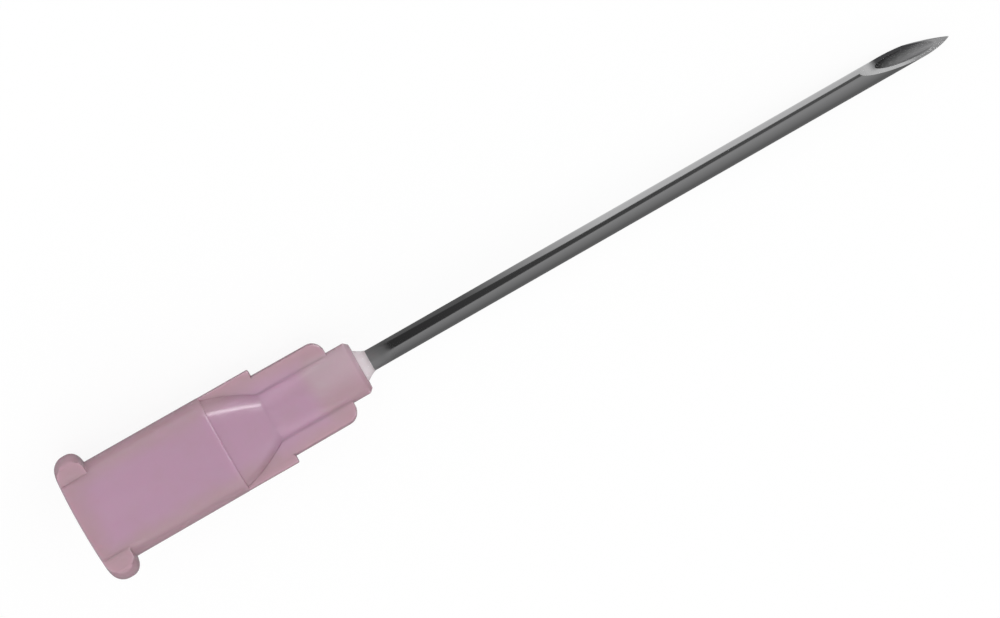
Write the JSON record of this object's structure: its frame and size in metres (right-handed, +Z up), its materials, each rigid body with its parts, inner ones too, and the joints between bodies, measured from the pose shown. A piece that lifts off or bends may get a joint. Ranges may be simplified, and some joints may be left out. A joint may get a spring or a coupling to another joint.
{
  "type": "hypodermic needle",
  "caption": "Single-use injection needle: a translucent pink locking-taper hub with side lugs and stepped fins, and a slim steel tube ground to a lancet point.",
  "frame": {"origin": "on the surface it lies on, under the middle of its bounding box", "axes": "+X along the needle from hub to point, +Y to the side that the lower lug points to, +Z up from the surface; the needle's own axis dips about 3 degrees towards the point, because it rests on the barrel's front rim and on the point, and the lugs stand 34 degrees off level, with the corner of the lower one down at the surface"},
  "size_m": [0.0562, 0.0078, 0.0069],
  "materials": {
    "hub_plastic": "translucent",
    "tube_steel": "satin",
    "glue": "gloss"
  },
  "bodies": {
    "root": {"hub": "hub_plastic", "cannula": "tube_steel", "adhesive_bead": "glue"}
  },
  "joints": []
}
